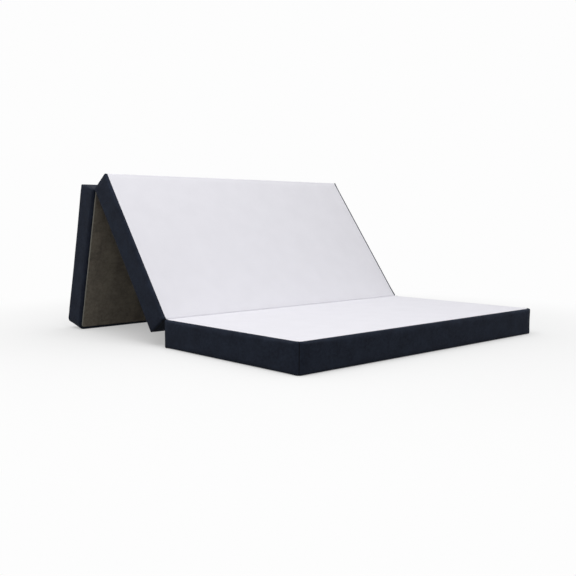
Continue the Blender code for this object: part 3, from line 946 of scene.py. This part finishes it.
def zip_stops(panel):
    """The metal clamps at the coil's two ends."""
    low, high = local_box(panel, f"{panel}_zip_coil")
    clamps = []
    for start in (low.y - 0.0035, high.y + 0.0005):
        clamp = add_box("clamp", Vector((low.x - 0.0002, start, low.z - 0.0006)),
                        Vector((high.x + 0.0004, start + 0.003, high.z + 0.0006)))
        with editing(clamp):
            pick("FACE", lambda middle, normal: normal.x > ALONG)
            bpy.ops.mesh.inset(thickness=0.0006)
            bpy.ops.transform.translate(value=(0.0002, 0, 0))
        round_edges(clamp, 0.00025)
        clamps.append(clamp)
    piece = join(clamps, f"{panel}_zip_stops")
    put_in_place(piece, panel)
    give_finish(piece, "zip_metal", f"{panel}_panel")


def zip_slider(panel):
    """The slider: a tapered cast body with a raised face and a bridge for its pull."""
    low, high = local_box(panel, f"{panel}_zip_slider")
    middle = (low + high) / 2
    body = add_box(f"{panel}_zip_slider_body", low, high)
    with editing(body):
        # Its far end is drawn in, and its face is raised half a millimetre inside a rim of 1.4 mm
        pick("FACE", lambda place, normal: normal.y > ALONG)
        bpy.ops.transform.resize(value=(1, 1, 0.58), center_override=middle)
        pick("FACE", lambda place, normal: normal.x > ALONG)
        bpy.ops.mesh.inset(thickness=0.0014)
        bpy.ops.transform.translate(value=(0.0005, 0, 0))
        # A waist at each side, where the two tapes run in
        pick("FACE", lambda place, normal: abs(normal.z) > 0.7)
        bpy.ops.mesh.inset(thickness=0.0005)
        bpy.ops.transform.resize(value=(1, 1, 0.88), center_override=middle)
    round_edges(body, 0.0003)
    deselect()
    bpy.ops.mesh.primitive_torus_add(
        major_segments=24, minor_segments=10, major_radius=0.0023, minor_radius=0.0005,
        location=(high.x + 0.0003, middle.y, middle.z))
    bridge = bpy.context.active_object
    bpy.ops.object.transform_apply(location=True, rotation=True, scale=True)
    bpy.ops.object.shade_smooth()
    # The ring's lower half is cast into the body, so it is cut away and closed
    with editing(bridge):
        bpy.ops.mesh.bisect(plane_co=(high.x + 0.0002, 0, 0), plane_no=(1, 0, 0), clear_inner=True,
                            use_fill=True)
    piece = join((body, bridge), body.name)
    put_in_place(piece, panel)
    give_finish(piece, "zip_metal", f"{panel}_zip_slider", f"{panel}_zip_slider")


def zip_pull(panel):
    """The pull: a flat cast tab with round ends, an eye for the bridge and a raised rim."""
    low, high = local_box(panel, f"{panel}_zip_pull")
    middle = (low + high) / 2
    piece = add_box(f"{panel}_zip_pull_tab", low, high)
    with editing(piece):
        pick("EDGE", lambda place, run: abs(run.x) > ALONG)
        bpy.ops.mesh.bevel(offset=0.0030, segments=6, affect="EDGES")
        pick("FACE", lambda place, normal: normal.x > ALONG)
        bpy.ops.mesh.inset(thickness=0.0009)
        bpy.ops.transform.translate(value=(-0.0003, 0, 0))
    deselect()
    bpy.ops.mesh.primitive_cylinder_add(
        vertices=24, radius=0.0020, depth=0.01, location=(middle.x, low.y + 0.0038, middle.z),
        rotation=(0, math.pi / 2, 0))
    eye = bpy.context.active_object
    cut = piece.modifiers.new("eye", "BOOLEAN")
    cut.operation = "DIFFERENCE"
    cut.object = eye
    apply_modifiers(piece)
    bpy.data.objects.remove(eye, do_unlink=True)
    round_edges(piece, 0.0002)
    put_in_place(piece, panel)
    give_finish(piece, "zip_metal", f"{panel}_zip_slider", f"{panel}_zip_pull")


class MATTRESS_OT_sewn_cover(Operator):
    """Sew one panel's cover: white top, brown base and four navy borders, swollen over the foam"""
    bl_idname = "mattress.sewn_cover"
    bl_label = "Sewn cover"
    panel: StringProperty(name="Panel", description="front, middle or end", default="front")
    seed: IntProperty(name="Seed", description="Which set of dents the cover has", default=1)

    def execute(self, context):
        sewn_cover(self.panel, self.seed)
        return {"FINISHED"}


class MATTRESS_OT_fold_hinges(Operator):
    """Sew the two cloth hinges: white between the sleeping faces, navy between the undersides"""
    bl_idname = "mattress.fold_hinges"
    bl_label = "Fold hinges"

    def execute(self, context):
        sizes = context.scene.mattress_sizes
        fold_hinge("first_fold_hinge_cloth", "front", "middle", "white_knit", True,
                   ("front_hinge_flap", "middle_lower_hinge_flap"), sizes)
        fold_hinge("second_fold_hinge_cloth", "middle", "end", "navy_weave", False,
                   ("middle_upper_hinge_flap", "end_hinge_flap"), sizes)
        return {"FINISHED"}


class MATTRESS_OT_zips(Operator):
    """Sew a zip into each panel's right border: tape, stitches, coil and the clamps at its ends"""
    bl_idname = "mattress.zips"
    bl_label = "Zips"

    def execute(self, context):
        for panel in PLACES:
            zip_tape(panel)
            zip_stitches(panel)
            zip_coil(panel)
            zip_stops(panel)
        return {"FINISHED"}


class MATTRESS_OT_zip_sliders(Operator):
    """Run a slider with its pull onto each zip"""
    bl_idname = "mattress.zip_sliders"
    bl_label = "Zip sliders"

    def execute(self, context):
        for panel in PLACES:
            zip_slider(panel)
            zip_pull(panel)
        return {"FINISHED"}


class MATTRESS_OT_foam(Operator):
    """Give the foam blocks inside the covers their foam finish"""
    bl_idname = "mattress.foam"
    bl_label = "Foam"

    def execute(self, context):
        for panel in PLACES:
            for layer in ("support_foam", "comfort_foam"):
                block = frame["nodes"][f"{panel}_{layer}"]
                block.data.materials.clear()
                block.data.materials.append(finish_of(layer))
        return {"FINISHED"}


class MATTRESS_OT_stage(Operator):
    """Lay the white floor and set the soft light and the camera"""
    bl_idname = "mattress.stage"
    bl_label = "Stage"

    def execute(self, context):
        stage = context.scene.mattress_stage
        deselect()
        bpy.ops.mesh.primitive_circle_add(vertices=96, radius=14, fill_type="NGON", location=(0, 0, 0))
        floor = context.active_object
        floor.name = "studio_floor"
        colours = context.scene.mattress_colours
        floor.data.materials.append(studio_floor("matt_white_floor", colours.floor, colours.floor_bounce))

        sky = bpy.data.worlds.new("soft_white_room")
        context.scene.world = sky
        sky.use_nodes = True
        tree = sky.node_tree
        tree.nodes.clear()
        seen = seen_directly(tree, add_node(tree, "ShaderNodeLightPath"))
        light = add_node(tree, "ShaderNodeBackground", {"Color": WHITE_LIGHT, "Strength": stage.sky_strength})
        plain = add_node(tree, "ShaderNodeBackground", {"Color": linear(BACKGROUND), "Strength": 1.0})
        both = add_node(tree, "ShaderNodeMixShader", {0: seen, 1: light, 2: plain})
        add_node(tree, "ShaderNodeOutputWorld", {"Surface": both})

        lamps = (("overhead_softbox", (-0.8, -0.6, 3.2), (0, 0, 0.2), 3.0, stage.overhead_power),
                 ("front_left_softbox", (-3.0, -1.6, 1.7), (0, 0, 0.3), 2.2, stage.side_power))
        for name, place, aim, size, power in lamps:
            lamp = bpy.data.lights.new(name, "AREA")
            lamp.shape = "SQUARE"
            lamp.size = size
            lamp.energy = power
            held = bpy.data.objects.new(name, lamp)
            held.location = place
            held.rotation_mode = "QUATERNION"
            held.rotation_quaternion = (Vector(aim) - Vector(place)).to_track_quat("-Z", "Y")
            context.collection.objects.link(held)

        lens = bpy.data.cameras.new("photo_camera")
        lens.sensor_width = 36
        lens.lens = stage.focal_length
        lens.shift_x = stage.sideways_shift
        camera = bpy.data.objects.new("photo_camera", lens)
        camera.location = stage.camera_place
        turn, dip = stage.camera_azimuth, stage.camera_dip
        ahead = Vector((math.sin(turn) * math.cos(dip), math.cos(turn) * math.cos(dip), -math.sin(dip)))
        camera.rotation_mode = "QUATERNION"
        camera.rotation_quaternion = ahead.to_track_quat("-Z", "Y")
        context.collection.objects.link(camera)
        context.scene.camera = camera
        context.scene.view_settings.view_transform = "Standard"
        return {"FINISHED"}


class MATTRESS_PT_sidebar(Panel):
    """The mattress's settings and pieces"""
    bl_idname = "MATTRESS_PT_sidebar"
    bl_label = "Folding mattress"
    bl_space_type = "VIEW_3D"
    bl_region_type = "UI"
    bl_category = "Mattress"

    def draw(self, context):
        scene = context.scene
        for group in (scene.mattress_sizes, scene.mattress_colours, scene.mattress_stage):
            box = self.layout.box()
            for name in group.__annotations__:
                box.prop(group, name)
        for panel, seed in PANEL_SEEDS.items():
            made = self.layout.operator("mattress.sewn_cover", text=f"Sewn cover, {panel} panel")
            made.panel = panel
            made.seed = seed
        for name in ("mattress.fold_hinges", "mattress.zips", "mattress.zip_sliders", "mattress.foam",
                     "mattress.stage"):
            self.layout.operator(name)


PANEL_SEEDS = {"front": 1, "middle": 5, "end": 9}
CLASSES = (
    MattressSizes, MattressColours, StageSettings, MATTRESS_OT_sewn_cover, MATTRESS_OT_fold_hinges,
    MATTRESS_OT_zips, MATTRESS_OT_zip_sliders, MATTRESS_OT_foam, MATTRESS_OT_stage, MATTRESS_PT_sidebar)


def register():
    """Register the classes and hang the settings on the scene."""
    for kind in CLASSES:
        bpy.utils.register_class(kind)
    bpy.types.Scene.mattress_sizes = PointerProperty(type=MattressSizes)
    bpy.types.Scene.mattress_colours = PointerProperty(type=MattressColours)
    bpy.types.Scene.mattress_stage = PointerProperty(type=StageSettings)


def unregister():
    """Take the settings and the classes away again."""
    del bpy.types.Scene.mattress_stage
    del bpy.types.Scene.mattress_colours
    del bpy.types.Scene.mattress_sizes
    for kind in reversed(CLASSES):
        bpy.utils.unregister_class(kind)


def main():
    """Make every piece in order."""
    register()
    for panel, seed in PANEL_SEEDS.items():
        bpy.ops.mattress.sewn_cover(panel=panel, seed=seed)
    bpy.ops.mattress.fold_hinges()
    bpy.ops.mattress.zips()
    bpy.ops.mattress.zip_sliders()
    bpy.ops.mattress.foam()
    bpy.ops.mattress.stage()


if __name__ == "__main__":
    main()
